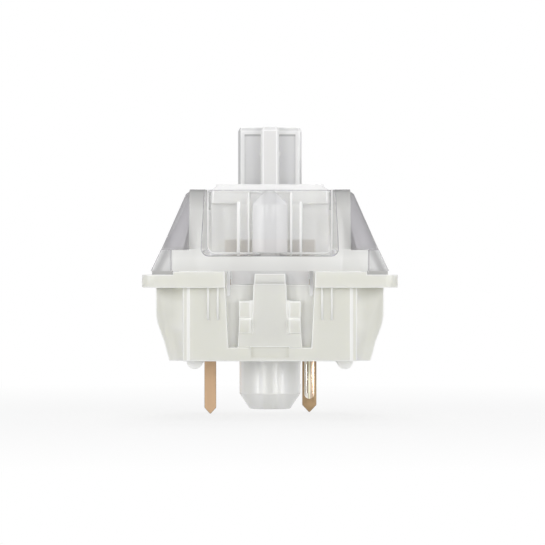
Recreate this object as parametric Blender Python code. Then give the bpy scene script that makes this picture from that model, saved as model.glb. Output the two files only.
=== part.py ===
"""Builds a keyboard switch in Blender: a milky base, a clear cover, a stem with a cross, and its contacts.

Sizes below are in millimetres, and the mesh helpers turn them into metres. The origin is on the stem's
axis, in the plane of the circuit board. +Z is up. The window is on the -Y side and the pins on the +Y side.
"""

import math

import bmesh
import bpy
from mathutils import Vector

MM = 0.001
OVERLAP = 0.2  # how far a piece of a union runs into its neighbour
THROUGH = 1.0  # how far a cutter runs past the face that it opens
SLIDE_GAP = 0.1  # between the stem and what guides it
PASSING_GAP = 0.16  # between the stem and what it only passes
END_GAP = 0.05  # between a moving piece and its stop, at the end of its way
FIT_GAP = 0.04  # round a pressed-in contact
SEAM = 0.02  # between two pieces that rest on each other

# Base, outside
FLANGE = 15.6
FLANGE_CORNER = 0.8
PLATE_Z = 5.0  # underside of the flange
FLANGE_TOP = 5.8
RIM_TOP = 6.0
RIM_END_X = 5.91  # end of the raised rim on the window and pin sides
RIM_END_Y = 4.0  # end of the raised rim on the other two sides
RIM_SIDE_X = 7.2  # the rim's outside there, under the cover's skirt
BODY_Y = 7.0
BODY_BLOCK_X = 5.32
BODY_COLUMN = (0.24, 0.15)  # width of the set-back column at each corner, and how far it is set back
SIDE_X = 7.0
SIDE_TAPER = ((0.51, 6.19), (1.7, 6.51), (2.75, 6.9), (3.25, SIDE_X))  # z and half width
SIDE_Y = 5.4
UNDERSIDE = SIDE_TAPER[0][0]
FOOT_X = 4.61
FOOT_Y = 5.0
FOOT_R = 0.5
FOOT_LENGTH = 1.4
CRUSH_RIB_X = (3.18, 3.77)
CRUSH_RIB_W = 0.14
CRUSH_RIB_PROUD = 0.08
CRUSH_RIB_Z = 3.03
DIMPLE = (1.15, 0.75, 1.38, 0.15)  # half width, low z, high z and depth of the mark under each tongue

# Centre post, guide tube and pole
POST_R = 1.93
POST_CONE_Z = -1.68
POST_TIP_R = 1.28
POST_TIP_Z = -2.65
POLE_R = 1.05
POLE_LEAD = 0.25
BORE_R = POLE_R + SLIDE_GAP
BORE_FLOOR = -1.9
BORE_LEAD = 0.2
TUBE_R = BORE_R + 0.45
TUBE_TOP = 4.6

# Return spring
WIRE_R = 0.11
COIL_R = TUBE_R + 0.28 + WIRE_R
OPEN_TURNS = 8.0
END_TURNS = 1.25
STEPS_PER_TURN = 20
WIRE_SIDES = 6

# Base, inside
FLOOR_TOP = 1.45
CAVITY_LONG_X = 5.7
CAVITY_LONG_Y = 4.7
CAVITY_DEEP_X = 4.6
CAVITY_DEEP_Y = 5.75

# Plate tongues, in the window and pin sides
SLOT_FLOOR_Y = CAVITY_DEEP_Y + 0.55
SLOT_BOTTOM = 1.35
SLOT_HALF = ((SLOT_BOTTOM, 2.53), (PLATE_Z, 2.72), (RIM_TOP + THROUGH, 2.78))
INNER_WALL_TOP = 5.17
INNER_WALL_HALF = 2.6
TONGUE_BACK = SLOT_FLOOR_Y + 0.26
TONGUE_FRONT = BODY_Y - 0.05
TONGUE_WING_FRONT = BODY_Y - 0.14
TONGUE_ROOT_Z = SLOT_BOTTOM - 0.15
TONGUE_KINK_Z = 3.35
TONGUE_FOOT = ((TONGUE_ROOT_Z, 1.98, TONGUE_FRONT), (2.22, 1.92, TONGUE_FRONT))  # z, half width, front
TONGUE_WINGS = ((2.1, 1.92, TONGUE_WING_FRONT), (4.25, 1.83, TONGUE_WING_FRONT))
TONGUE_BLADE = ((2.1, 1.07, TONGUE_FRONT), (TONGUE_KINK_Z, 1.07, TONGUE_FRONT), (5.25, 1.0, BODY_Y - 0.1))
TONGUE_TIP = ((5.1, 0.97, BODY_Y - 0.18), (5.85, 0.93, BODY_Y - 0.26))
PAD_X = (1.19, 1.88)
PAD_Z = (3.18, 4.25)
BARB_Z = (2.22, 3.07)
BARB_PROUD = BODY_Y + 0.35
BARB_FOOT = BODY_Y + 0.05

# Snap legs of the cover and the ways for them
CLIP_Y = 3.3
CLIP_HALF = 0.85
CLIP_X = (6.2, 6.7)
CLIP_Z = 3.7
CLIP_BARB_X = CLIP_X[1] + 0.23
CLIP_BARB_EDGE = 0.17
CLIP_LEAD = 0.15
CLIP_WAY_GAP = 0.08
CLIP_WINDOW_Z = 3.3
FIN_X = (2.42, 2.64)
FIN_Y = (SLOT_FLOOR_Y + 0.12, SLOT_FLOOR_Y + 0.55)
FIN_Z = 4.5
CLOSER_X = INNER_WALL_HALF - 0.2
CLOSER_Y = (CAVITY_DEEP_Y + 0.12, SLOT_FLOOR_Y - CLIP_WAY_GAP)
CLOSER_Z = INNER_WALL_TOP + 0.05

# Cover
COVER_Z = RIM_TOP + SEAM
COVER_TOP = 11.06
SKIRT_X = 7.31
SKIRT_Y = 7.2
SKIRT_CORNER = 1.29
SHOULDER_Z = 7.35
SHOULDER_X = 6.67
SHOULDER_Y = 6.72
SHOULDER_CORNER = 0.62
WING_Y = 5.8
WING_TOP_X = 5.2
WING_TOP_Y = 4.3
WING_CORNER = 0.3
CROWN_Z = COVER_TOP - 0.28
CROWN_INSET = 0.36
FACE_X = 4.95
FACE_ROOT_Y = SHOULDER_Y - 0.6
FACE_TOP = (4.95, COVER_TOP - 0.15)
FACE_CROWN_Y = FACE_TOP[0] - 0.2
ROOF_UNDER = 9.9
COVER_IN_LOW = (CAVITY_LONG_X, CAVITY_DEEP_Y, 1.0)  # half sizes and corner of the room inside
COVER_IN_HIGH = (4.68, 4.4, 0.6)

# Stem
TRAVEL = 4.0
CUP_R = COIL_R + WIRE_R + SLIDE_GAP
STEM_X = 3.69
STEM_Y = CUP_R + 0.5
STEM_CORNER = 0.25
STEM_SKIRT = 6.9
STEM_SHOULDER = COVER_TOP
STEM_PLATE = 11.44
STEM_PLATE_BEVEL_Z = STEM_PLATE - 0.14
STEM_PLATE_X = STEM_X - 0.34
STEM_PLATE_Y = STEM_Y - 0.3
STEM_PLATE_CORNER = 0.2
PANEL_X = 2.05
PANEL_DEPTH = 0.28
PANEL_TOP = 10.22
NICHE_X = 1.3
NICHE_DEPTH = 0.2
NICHE_TOP = STEM_SHOULDER - 0.15
CHEEK_X = CUP_R + 0.25
CHEEK_Y = 1.6
CHEEK_Z = FLOOR_TOP + TRAVEL + END_GAP
RAIL_X = 4.58
RAIL_Y = 0.78
RAIL_TOP = ROOF_UNDER - END_GAP
GUIDE_RIB_X = STEM_X + PASSING_GAP
GUIDE_RIB_Y = 1.6
CUP_ROOF = STEM_SHOULDER - 0.8
POLE_TIP = BORE_FLOOR + TRAVEL + END_GAP
SPRING_FOOT = FLOOR_TOP + SEAM
SPRING_HEAD = CUP_ROOF - SEAM
CROSS_TOP = 15.06
CROSS_ARM = 2.0
CROSS_WIDE_HALF = 0.65  # the arms along X
CROSS_THIN_HALF = 0.575  # the arms along Y
CROSS_EDGE = 0.14
CROSS_CROWN = (0.14, 0.24)  # inset and height of the chamfer round the top
CROSS_PANEL = (0.4, 0.44, 0.06)  # side border, top border and depth of the wide arms' set-back panels
NUB_Z = 13.38
NUB_Y = 1.35
NUB_R = 0.16
NUB_PROUD = 0.1
NUB_LENGTH = 0.5

# Window pocket in the cover
WINDOW_FRONT = (4.22, 6.94)  # half width and floor of the pocket at the front
WINDOW_BACK = (3.88, 7.11)  # and at its back wall
WINDOW_FRONT_Y = SKIRT_Y
WINDOW_BACK_Y = STEM_Y + SLIDE_GAP + 0.6
WINDOW_CORNER = 0.45
WINDOW_WALL = 0.45

# Light guide, and the opening under it for a light on the board
GUIDE_R = 1.09
GUIDE_Y = WINDOW_BACK_Y + 0.11 + GUIDE_R
GUIDE_FOOT = WINDOW_BACK[1] + SEAM
GUIDE_NOSE_Z = COVER_TOP - 1.01
GUIDE_NOSE = ((0.06, 0.14), (0.22, 0.33), (0.44, 0.57), (0.66, 0.79), (0.77, 0.87))  # inset and rise
SPIGOT_R = 0.6
SPIGOT_Z = 6.7
LIGHT_HOLE_X = 1.6
LIGHT_HOLE_Y = (GUIDE_Y - 0.4, GUIDE_Y + 1.1)

# Fixed contact
SHEET = 0.25
PIN_TIP = -3.08
FIXED_PIN = (-3.81, 2.54)
FIXED_PIN_HALF = 0.375
FIXED_POINT_START = -2.7
FIXED_Y = STEM_Y + 0.45 + SHEET / 2
FIXED_HALF = 1.2
FIXED_TOP = 7.2
FIXED_FOOT_TOP = STEM_SKIRT - TRAVEL - 0.3
FIXED_BEND_X = (-2.9, -3.35, -4.2)
CONTACT_FOOT = FLOOR_TOP + END_GAP
CONTACT_Z = 6.8
CONTACT_GAP = 0.4
POINT_HALF = 0.45
POINT_WIDTH = 0.36
FIXED_POINT_PROUD = 0.25

# Legs of the stem, which hold the moving contact back
LEG_X = (FIXED_HALF + 0.3, FIXED_HALF + 1.0)
LEG_OUT_Y = FIXED_Y + SHEET / 2 + 0.75
LEG_IN_Y = FIXED_Y + SHEET / 2 + 0.3
LEG_FOOT = STEM_SKIRT + END_GAP
LEG_RAMP_Z = (7.35, 9.35)
LEG_TOP = ROOF_UNDER - 0.1

# Moving contact
MOVING_PIN = (2.54, 5.08)
MOVING_PIN_HALF = 0.46
MOVING_POINT_START = -2.63
MOVING_PLATE_X = (-2.75, 3.4)
MOVING_PLATE_TOP = 3.4
BEAD_HALF = (0.32, 0.13)  # at its foot and at its crest
BEAD_PROUD = 0.12
BEAD_END = (-1.91, -1.8)  # centres of its round end, at its foot and at its crest
BEAD_TOP = 1.0
LEAF_T = 0.14
LEAF_HALF = 2.75
LEAF_ROOT_Y = MOVING_PIN[1] - SHEET / 2 - SEAM - LEAF_T / 2
LEAF_RIDGE_Y = LEG_OUT_Y + END_GAP + LEAF_T / 2
LEAF_FOOT = 2.6  # also the height of the leaf's hinge line
LEAF_PATH = (
    (LEAF_ROOT_Y, LEAF_FOOT),
    (LEAF_ROOT_Y, 3.3),
    (LEAF_RIDGE_Y + 0.18, 6.6),
    (LEAF_RIDGE_Y, 7.3),
    (LEAF_RIDGE_Y + 0.23, 8.0),
)
LEAF_WINDOW_X = (0.9, 1.5)
LEAF_WINDOW_Z = (3.9, 6.2)

MILKY = (0.73, 0.73, 0.67, 1.0)
CLEAR = (0.80, 0.80, 0.83, 1.0)
WHITE = (0.84, 0.84, 0.82, 1.0)
COPPER = (0.58, 0.38, 0.24, 1.0)
STEEL = (0.60, 0.60, 0.62, 1.0)
SILVER = (0.78, 0.74, 0.62, 1.0)
METALS = (COPPER, STEEL, SILVER)
ROUND_ANGLE = math.radians(35)  # edges sharper than this stay sharp on a round piece


# Meshes from outlines

def placed(plane, u, v, w):
    """A point of an outline in the named plane, at distance w along the axis that the plane leaves out."""
    return {"XY": (u, v, w), "XZ": (u, w, v), "YZ": (w, u, v)}[plane]


def as_object(name, bm, colour):
    """Turns a mesh in millimetres into an object in metres, with its own material."""
    bmesh.ops.recalc_face_normals(bm, faces=bm.faces)
    bmesh.ops.scale(bm, vec=(MM, MM, MM), verts=bm.verts)
    mesh = bpy.data.meshes.new(name)
    bm.to_mesh(mesh)
    bm.free()
    obj = bpy.data.objects.new(name, mesh)
    bpy.context.scene.collection.objects.link(obj)
    if colour:
        material = bpy.data.materials.new(name)
        material.use_nodes = True
        shader = material.node_tree.nodes["Principled BSDF"]
        shader.inputs["Base Color"].default_value = colour
        shader.inputs["Roughness"].default_value = 0.35
        shader.inputs["Metallic"].default_value = 1.0 if colour in METALS else 0.0
        material.diffuse_color = colour
        mesh.materials.append(material)
    return obj


def shaded_round(obj):
    """Shades a turned or coiled piece smooth between its sharp edges."""
    obj.data.shade_smooth()
    obj.data.set_sharp_from_angle(angle=ROUND_ANGLE)
    return obj


def loft(name, sections, plane="XY", colour=None):
    """A solid through outlines of equally many points, each given as (distance, outline)."""
    bm = bmesh.new()
    rings = [[bm.verts.new(placed(plane, u, v, w)) for u, v in outline] for w, outline in sections]
    for low, high in zip(rings, rings[1:]):
        for i in range(len(low)):
            j = (i + 1) % len(low)
            bm.faces.new((low[i], low[j], high[j], high[i]))
    bm.faces.new(rings[0][::-1])
    bm.faces.new(rings[-1])
    return as_object(name, bm, colour)


def prism(name, outline, low, high, plane="XY", colour=None):
    return loft(name, [(low, outline), (high, outline)], plane, colour)


def block(name, x, y, z, colour=None):
    return prism(name, [(x[0], y[0]), (x[1], y[0]), (x[1], y[1]), (x[0], y[1])], z[0], z[1], "XY", colour)


def revolve(name, profile, centre=(0.0, 0.0), segments=40, colour=None):
    """Turns a profile of (radius, z) points, which starts and ends on the vertical line through centre."""
    bm = bmesh.new()
    rings = []
    for radius, z in profile:
        if radius == 0.0:
            rings.append([bm.verts.new((centre[0], centre[1], z))] * segments)
            continue
        ring = []
        for i in range(segments):
            angle = math.tau * i / segments
            x = centre[0] + radius * math.cos(angle)
            y = centre[1] + radius * math.sin(angle)
            ring.append(bm.verts.new((x, y, z)))
        rings.append(ring)
    for low, high in zip(rings, rings[1:]):
        for i in range(segments):
            j = (i + 1) % segments
            corners = []
            for corner in (low[i], low[j], high[j], high[i]):
                if corner not in corners:
                    corners.append(corner)
            if len(corners) > 2:
                bm.faces.new(corners)
    return shaded_round(as_object(name, bm, colour))


# Outlines

def rounded_rectangle(half_u, half_v, radius, steps=4):
    points = []
    for sign_u, sign_v, start in ((1, 1, 0), (-1, 1, 90), (-1, -1, 180), (1, -1, 270)):
        for i in range(steps + 1):
            angle = math.radians(start + 90 * i / steps)
            centre_u, centre_v = sign_u * (half_u - radius), sign_v * (half_v - radius)
            points.append((centre_u + radius * math.cos(angle), centre_v + radius * math.sin(angle)))
    return points


def chamfered_rectangle(half_u, half_v, cut):
    return rounded_rectangle(half_u, half_v, cut, 1)


def quartered(quarter):
    """A closed outline from the corners of its first quarter, mirrored to the other three."""
    corners = []
    for sign_u, sign_v, order in ((1, 1, 1), (-1, 1, -1), (-1, -1, 1), (1, -1, -1)):
        corners += [(sign_u * u, sign_v * v) for u, v in quarter[::order]]
    return corners


def plus_outline(long_u, long_v, deep_u, deep_v):
    """A wide rectangle and a deep one, crossed."""
    return quartered([(long_u, long_v), (deep_u, long_v), (deep_u, deep_v)])


def symmetric(widths):
    """A closed outline from (height, half width) pairs."""
    return [(half, z) for z, half in widths] + [(-half, z) for z, half in reversed(widths)]


def strip_outline(path, thickness):
    """The outline of a bent sheet: the path, offset by half the thickness both ways, with mitred bends."""
    points = [Vector(p) for p in path]
    sides = []
    for i, point in enumerate(points):
        before = (points[i] - points[i - 1]).normalized() if i else None
        after = (points[i + 1] - points[i]).normalized() if i + 1 < len(points) else None
        before = before or after
        after = after or before
        normal_before = Vector((-before.y, before.x))
        normal_after = Vector((-after.y, after.x))
        mitre = (normal_before + normal_after).normalized()
        reach = thickness / 2 / mitre.dot(normal_before)
        sides.append((point + mitre * reach, point - mitre * reach))
    return [tuple(a) for a, b in sides] + [tuple(b) for a, b in reversed(sides)]


def turned(outline, side):
    """The outline mirrored to the other side, where side is -1."""
    return [(side * u, v) for u, v in outline]


# Booleans

def boolean(target, tools, operation):
    """One Boolean with all the tools at once, so that faces which they share stay exactly in one plane."""
    modifier = target.modifiers.new(operation.title(), "BOOLEAN")
    modifier.operation = operation
    modifier.solver = "EXACT"
    modifier.operand_type = "COLLECTION"
    modifier.collection = bpy.data.collections.new(f"{target.name} {operation.lower()}")
    for tool in tools:
        modifier.collection.objects.link(tool)
        tool.hide_render = True
        tool.display_type = "WIRE"


def join(target, tools):
    boolean(target, tools, "UNION")


def cut(target, tools):
    boolean(target, tools, "DIFFERENCE")


# Base

def base_shell():
    """The tapered sides, the flange and its raised rim, which the body block joins."""
    top = PLATE_Z + OVERLAP
    sides = symmetric(SIDE_TAPER + ((top, SIDE_X),))
    flange = rounded_rectangle(FLANGE / 2, FLANGE / 2, FLANGE_CORNER, 6)
    rim = plus_outline(RIM_SIDE_X, RIM_END_Y, RIM_END_X, FLANGE / 2)
    return [
        prism("base_sides", sides, -SIDE_Y, SIDE_Y, "XZ"),
        prism("base_flange", flange, PLATE_Z, FLANGE_TOP),
        prism("base_rim", rim, top, RIM_TOP),
    ]


def base_cavity():
    """The room for the stem and the contacts, and the opening for a light on the board."""
    outline = plus_outline(CAVITY_LONG_X, CAVITY_LONG_Y, CAVITY_DEEP_X, CAVITY_DEEP_Y)
    hole_y = (-LIGHT_HOLE_Y[1], -LIGHT_HOLE_Y[0])
    hole_z = (UNDERSIDE - THROUGH, FLOOR_TOP + THROUGH)
    return [
        prism("base_cavity", outline, FLOOR_TOP, RIM_TOP + THROUGH),
        block("base_light_hole", (-LIGHT_HOLE_X, LIGHT_HOLE_X), hole_y, hole_z),
    ]


def base_guide_ribs():
    """Four ribs inside, between which the stem's two rails run."""
    ribs = []
    for side in (-1, 1):
        for end in (-1, 1):
            x = sorted((side * GUIDE_RIB_X, side * (CAVITY_LONG_X + OVERLAP)))
            y = sorted((end * (RAIL_Y + SLIDE_GAP), end * GUIDE_RIB_Y))
            ribs.append(block("base_guide_rib", x, y, (FLOOR_TOP - OVERLAP, RIM_TOP - OVERLAP)))
    return ribs


def base_post():
    """The post that centres the switch on the board, and the tube that guides the stem's pole."""
    step = FLOOR_TOP - OVERLAP
    profile = (
        (0.0, POST_TIP_Z),
        (POST_TIP_R, POST_TIP_Z),
        (POST_R, POST_CONE_Z),
        (POST_R, step),
        (TUBE_R, step),
        (TUBE_R, TUBE_TOP),
        (0.0, TUBE_TOP),
    )
    return revolve("base_post", profile)


def base_bore():
    """The tube's blind bore, with a lead-in for the pole."""
    profile = (
        (0.0, BORE_FLOOR),
        (BORE_R, BORE_FLOOR),
        (BORE_R, TUBE_TOP - BORE_LEAD),
        (BORE_R + 2 * BORE_LEAD, TUBE_TOP + BORE_LEAD),
        (0.0, TUBE_TOP + BORE_LEAD),
    )
    return revolve("base_bore", profile)


def base_slot(side):
    """One slot through the flange, and the notch in the wall behind it."""
    slot = sorted((side * SLOT_FLOOR_Y, side * (FLANGE / 2 + THROUGH)))
    notch = sorted((side * (CAVITY_DEEP_Y - THROUGH), side * (SLOT_FLOOR_Y + OVERLAP)))
    width = (-INNER_WALL_HALF, INNER_WALL_HALF)
    return [
        prism("slot", symmetric(SLOT_HALF), slot[0], slot[1], "XZ"),
        block("slot_notch", width, notch, (INNER_WALL_TOP, RIM_TOP + THROUGH)),
    ]


def base_tongue(side):
    """The sprung tongue that locks the switch in a plate, with its two pads and two barbs."""
    pieces = []
    for name, steps in (
        ("tongue_foot", TONGUE_FOOT),
        ("tongue_wings", TONGUE_WINGS),
        ("tongue_blade", TONGUE_BLADE),
        ("tongue_tip", TONGUE_TIP),
    ):
        sections = []
        for z, half, front in steps:
            near, far = sorted((side * TONGUE_BACK, side * front))
            sections.append((z, [(half, near), (half, far), (-half, far), (-half, near)]))
        pieces.append(loft(name, sections))
    root = TONGUE_BACK + OVERLAP
    pad = [(root, PAD_Z[0]), (BODY_Y, PAD_Z[0]), (BODY_Y, PAD_Z[1] - OVERLAP / 2)]
    pad += [(TONGUE_WING_FRONT, PAD_Z[1] - SEAM), (root, PAD_Z[1] - SEAM)]
    barb = [(root, BARB_Z[0]), (BARB_FOOT, BARB_Z[0]), (BARB_PROUD, BARB_Z[1]), (root, BARB_Z[1])]
    for hand in (-1, 1):
        low, high = sorted((hand * PAD_X[0], hand * PAD_X[1]))
        pieces.append(prism("tongue_pad", turned(pad, side), low, high, "YZ"))
        pieces.append(prism("tongue_barb", turned(barb, side), low, high, "YZ"))
    return pieces


def base_crush_ribs(side):
    """Four small ribs beside the slot that take up the play in a plate's hole."""
    ribs = []
    y = sorted((side * (BODY_Y - OVERLAP), side * (BODY_Y + CRUSH_RIB_PROUD)))
    for hand in (-1, 1):
        for rib_x in CRUSH_RIB_X:
            x = (hand * rib_x - CRUSH_RIB_W / 2, hand * rib_x + CRUSH_RIB_W / 2)
            ribs.append(block("crush_rib", x, y, (CRUSH_RIB_Z, PLATE_Z + OVERLAP)))
    return ribs


def base_dimple(side):
    """The shallow mark under the tongue."""
    half, low, high, depth = DIMPLE
    y = sorted((side * (BODY_Y - depth), side * (BODY_Y + THROUGH)))
    return block("dimple", (-half, half), y, (low, high))


def base_feet():
    """Four half-round feet that stand on the board."""
    feet = []
    steps = 12
    for side in (-1, 1):
        middle = side * FOOT_X
        outline = []
        for i in range(steps + 1):
            angle = math.pi * (1 + i / steps)
            outline.append((middle + FOOT_R * math.cos(angle), FOOT_R + FOOT_R * math.sin(angle)))
        outline += [(middle + FOOT_R, FLOOR_TOP - OVERLAP), (middle - FOOT_R, FLOOR_TOP - OVERLAP)]
        for end in (-1, 1):
            y = (end * FOOT_Y - FOOT_LENGTH / 2, end * FOOT_Y + FOOT_LENGTH / 2)
            feet.append(prism("foot", outline, y[0], y[1], "XZ"))
    return feet


def base_clip_ways():
    """Four ways through the flange for the cover's snap legs, each open to the outside below the flange."""
    cutters = []
    half = CLIP_HALF + CLIP_WAY_GAP
    near, far = CLIP_X[0] - CLIP_WAY_GAP, CLIP_X[1] + CLIP_WAY_GAP
    for side in (-1, 1):
        for end in (-1, 1):
            y = (end * CLIP_Y - half, end * CLIP_Y + half)
            way = sorted((side * near, side * far))
            window = sorted((side * near, side * (SIDE_X + THROUGH)))
            cutters.append(block("clip_way", way, y, (PLATE_Z - OVERLAP, RIM_TOP + THROUGH)))
            cutters.append(block("clip_window", window, y, (CLIP_WINDOW_Z, PLATE_Z)))
    return cutters


def base_pin_slots():
    """Slots in the floor for the two contacts' pins."""
    slots = []
    depth = (UNDERSIDE - THROUGH, FLOOR_TOP + THROUGH)
    for (x, y), half, bead in ((FIXED_PIN, FIXED_PIN_HALF, 0.0), (MOVING_PIN, MOVING_PIN_HALF, BEAD_PROUD)):
        reach = half + FIT_GAP
        ends = (y - SHEET / 2 - bead - FIT_GAP, y + SHEET / 2 + FIT_GAP)
        slots.append(block("pin_slot", (x - reach, x + reach), ends, depth))
    return slots


def lower_housing():
    column, step = BODY_COLUMN
    inner = BODY_BLOCK_X - column
    outline = quartered([(BODY_BLOCK_X, BODY_Y - step), (inner, BODY_Y - step), (inner - step, BODY_Y)])
    body = prism("lower_housing", outline, UNDERSIDE, PLATE_Z + OVERLAP, "XY", MILKY)
    join(body, base_shell() + base_feet() + base_crush_ribs(-1) + base_crush_ribs(1))
    cut(body, base_cavity() + base_slot(-1) + base_slot(1) + base_clip_ways() + base_pin_slots())
    join(body, base_guide_ribs() + base_tongue(-1) + base_tongue(1) + [base_post()])
    cut(body, [base_bore(), base_dimple(-1), base_dimple(1)])


# Cover

def cover_shell():
    """The sloping wings, and the block with the sloping front and back faces."""
    foot = chamfered_rectangle(SHOULDER_X, WING_Y, WING_CORNER)
    head = chamfered_rectangle(WING_TOP_X, WING_TOP_Y, WING_CORNER)
    crown = chamfered_rectangle(WING_TOP_X - CROWN_INSET, WING_TOP_Y - CROWN_INSET, WING_CORNER)
    sections = ((SHOULDER_Z - OVERLAP, foot), (SHOULDER_Z, foot), (CROWN_Z, head), (COVER_TOP, crown))
    front = [(FACE_ROOT_Y, COVER_Z), (FACE_ROOT_Y, SHOULDER_Z - OVERLAP), (SHOULDER_Y, SHOULDER_Z)]
    front += [FACE_TOP, (FACE_CROWN_Y, COVER_TOP)]
    face = front + [(-y, z) for y, z in reversed(front)]
    return [loft("cover_wings", sections), prism("cover_faces", face, -FACE_X, FACE_X, "YZ")]


def window_outline(half, floor, inset):
    """The window pocket's section across the switch: a U with round lower corners, open at the top."""
    radius = WINDOW_CORNER
    points = [(half, COVER_TOP + THROUGH), (-half, COVER_TOP + THROUGH)]
    for sign, start in ((-1, 180), (1, 270)):
        for i in range(5):
            angle = math.radians(start + 22.5 * i)
            centre_x = sign * (half - radius)
            points.append((centre_x + radius * math.cos(angle), floor + radius + radius * math.sin(angle)))
    return [(x * (1 + inset / half), z - inset * (z < COVER_TOP)) for x, z in points]


def window_pocket(name, grown, back):
    """The pocket's draft runs on past its front face. grown makes it larger all round."""
    reach = THROUGH
    run = WINDOW_FRONT_Y - WINDOW_BACK_Y
    slope_x = (WINDOW_FRONT[0] - WINDOW_BACK[0]) / run
    slope_z = (WINDOW_FRONT[1] - WINDOW_BACK[1]) / run
    sections = []
    for y in (WINDOW_FRONT_Y + reach, back):
        along = y - WINDOW_BACK_Y
        outline = window_outline(WINDOW_BACK[0] + slope_x * along, WINDOW_BACK[1] + slope_z * along, grown)
        sections.append((-y, outline))
    return loft(name, sections, "XZ")


def cover_room():
    """The room over the base, which leaves a wall round the window pocket."""
    low = chamfered_rectangle(*COVER_IN_LOW)
    high = chamfered_rectangle(*COVER_IN_HIGH)
    room = loft("cover_room", ((COVER_Z - THROUGH, low), (COVER_Z, low), (ROOF_UNDER, high)))
    cut(room, [window_pocket("window_wall", WINDOW_WALL, STEM_Y + SLIDE_GAP)])
    return room


def cover_openings():
    """The stem's opening, the window pocket, and the hole for the light guide's spigot."""
    opening = rounded_rectangle(STEM_X + SLIDE_GAP, STEM_Y + SLIDE_GAP, STEM_CORNER, 3)
    radius = SPIGOT_R + FIT_GAP
    hole = ((0.0, COVER_Z), (radius, COVER_Z), (radius, GUIDE_FOOT + THROUGH), (0.0, GUIDE_FOOT + THROUGH))
    return [
        prism("stem_opening", opening, ROOF_UNDER - THROUGH, COVER_TOP + THROUGH),
        window_pocket("window", 0.0, WINDOW_BACK_Y),
        revolve("spigot_hole", hole, (0.0, -GUIDE_Y), 24),
    ]


def cover_legs():
    """Four barbed snap legs, and the fins and closing tabs that reach into the tongue slots."""
    pieces = []
    root = COVER_Z + OVERLAP
    hook = PLATE_Z - CLIP_WAY_GAP
    leg = [(CLIP_X[0], root), (CLIP_X[1], root), (CLIP_X[1], hook), (CLIP_BARB_X, hook)]
    leg += [(CLIP_BARB_X, hook - CLIP_BARB_EDGE), (CLIP_X[1] - CLIP_LEAD, CLIP_Z), (CLIP_X[0], CLIP_Z)]
    for side in (-1, 1):
        for end in (-1, 1):
            y = (end * CLIP_Y - CLIP_HALF, end * CLIP_Y + CLIP_HALF)
            pieces.append(prism("snap_leg", turned(leg, side), y[0], y[1], "XZ"))
            x = sorted((end * FIN_X[0], end * FIN_X[1]))
            y = sorted((side * FIN_Y[0], side * FIN_Y[1]))
            pieces.append(block("slot_fin", x, y, (FIN_Z, root)))
        y = sorted((side * CLOSER_Y[0], side * CLOSER_Y[1]))
        pieces.append(block("slot_closer", (-CLOSER_X, CLOSER_X), y, (CLOSER_Z, root)))
    return pieces


def upper_housing():
    skirt = chamfered_rectangle(SKIRT_X, SKIRT_Y, SKIRT_CORNER)
    shoulder = chamfered_rectangle(SHOULDER_X, SHOULDER_Y, SHOULDER_CORNER)
    body = loft("upper_housing", ((COVER_Z, skirt), (SHOULDER_Z, shoulder)), "XY", CLEAR)
    join(body, cover_shell() + cover_legs())
    cut(body, [cover_room()] + cover_openings())


def light_guide():
    """A round column with a spigot below and a blunt, tapering nose."""
    profile = [(0.0, SPIGOT_Z), (SPIGOT_R, SPIGOT_Z), (SPIGOT_R, GUIDE_FOOT), (GUIDE_R, GUIDE_FOOT)]
    profile.append((GUIDE_R, GUIDE_NOSE_Z))
    profile += [(GUIDE_R - inset, GUIDE_NOSE_Z + rise) for inset, rise in GUIDE_NOSE]
    profile.append((0.0, GUIDE_NOSE_Z + GUIDE_NOSE[-1][1]))
    revolve("light_guide", profile, (0.0, -GUIDE_Y), 40, MILKY)


# Stem

def stem_rails():
    """The cheeks and the rails that run between the base's guide ribs."""
    pieces = []
    for side in (-1, 1):
        cheek = sorted((side * CHEEK_X, side * STEM_X))
        rail = sorted((side * (STEM_X - OVERLAP), side * RAIL_X))
        pieces.append(block("stem_cheek", cheek, (-CHEEK_Y, CHEEK_Y), (CHEEK_Z, STEM_SKIRT + OVERLAP)))
        pieces.append(block("stem_rail", rail, (-RAIL_Y, RAIL_Y), (CHEEK_Z, RAIL_TOP)))
    return pieces


def stem_face_cuts():
    """Set-back panels and the middle niche in the two long faces."""
    cutters = []
    low = STEM_SKIRT - THROUGH
    for end in (-1, 1):
        panel = sorted((end * (STEM_Y - PANEL_DEPTH), end * (STEM_Y + THROUGH)))
        niche = sorted((end * (STEM_Y - NICHE_DEPTH), end * (STEM_Y + THROUGH)))
        for side in (-1, 1):
            x = sorted((side * PANEL_X, side * (STEM_X + THROUGH)))
            cutters.append(block("stem_panel", x, panel, (low, PANEL_TOP)))
        cutters.append(block("stem_niche", (-NICHE_X, NICHE_X), niche, (low, NICHE_TOP)))
    return cutters


def stem_cup():
    """The cup that the spring pushes on."""
    low = CHEEK_Z - THROUGH
    return revolve("spring_cup", ((0.0, low), (CUP_R, low), (CUP_R, CUP_ROOF), (0.0, CUP_ROOF)))


def stem_pole():
    """The pole that runs in the guide tube."""
    top = CUP_ROOF + OVERLAP
    profile = (
        (0.0, POLE_TIP),
        (POLE_R - POLE_LEAD, POLE_TIP),
        (POLE_R, POLE_TIP + POLE_LEAD),
        (POLE_R, top),
        (0.0, top),
    )
    return revolve("stem_pole", profile, (0.0, 0.0), 32)


def stem_legs():
    """Two legs on the pin side, which hold the leaf off the fixed contact until the stem goes down."""
    root = STEM_Y - PANEL_DEPTH - OVERLAP
    leg = [(root, LEG_FOOT), (LEG_OUT_Y, LEG_FOOT), (LEG_OUT_Y, LEG_RAMP_Z[0]), (LEG_IN_Y, LEG_RAMP_Z[1])]
    leg += [(LEG_IN_Y, LEG_TOP), (root, LEG_TOP)]
    return [
        prism("contact_leg", leg, *sorted((side * LEG_X[0], side * LEG_X[1])), "YZ") for side in (-1, 1)
    ]


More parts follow.
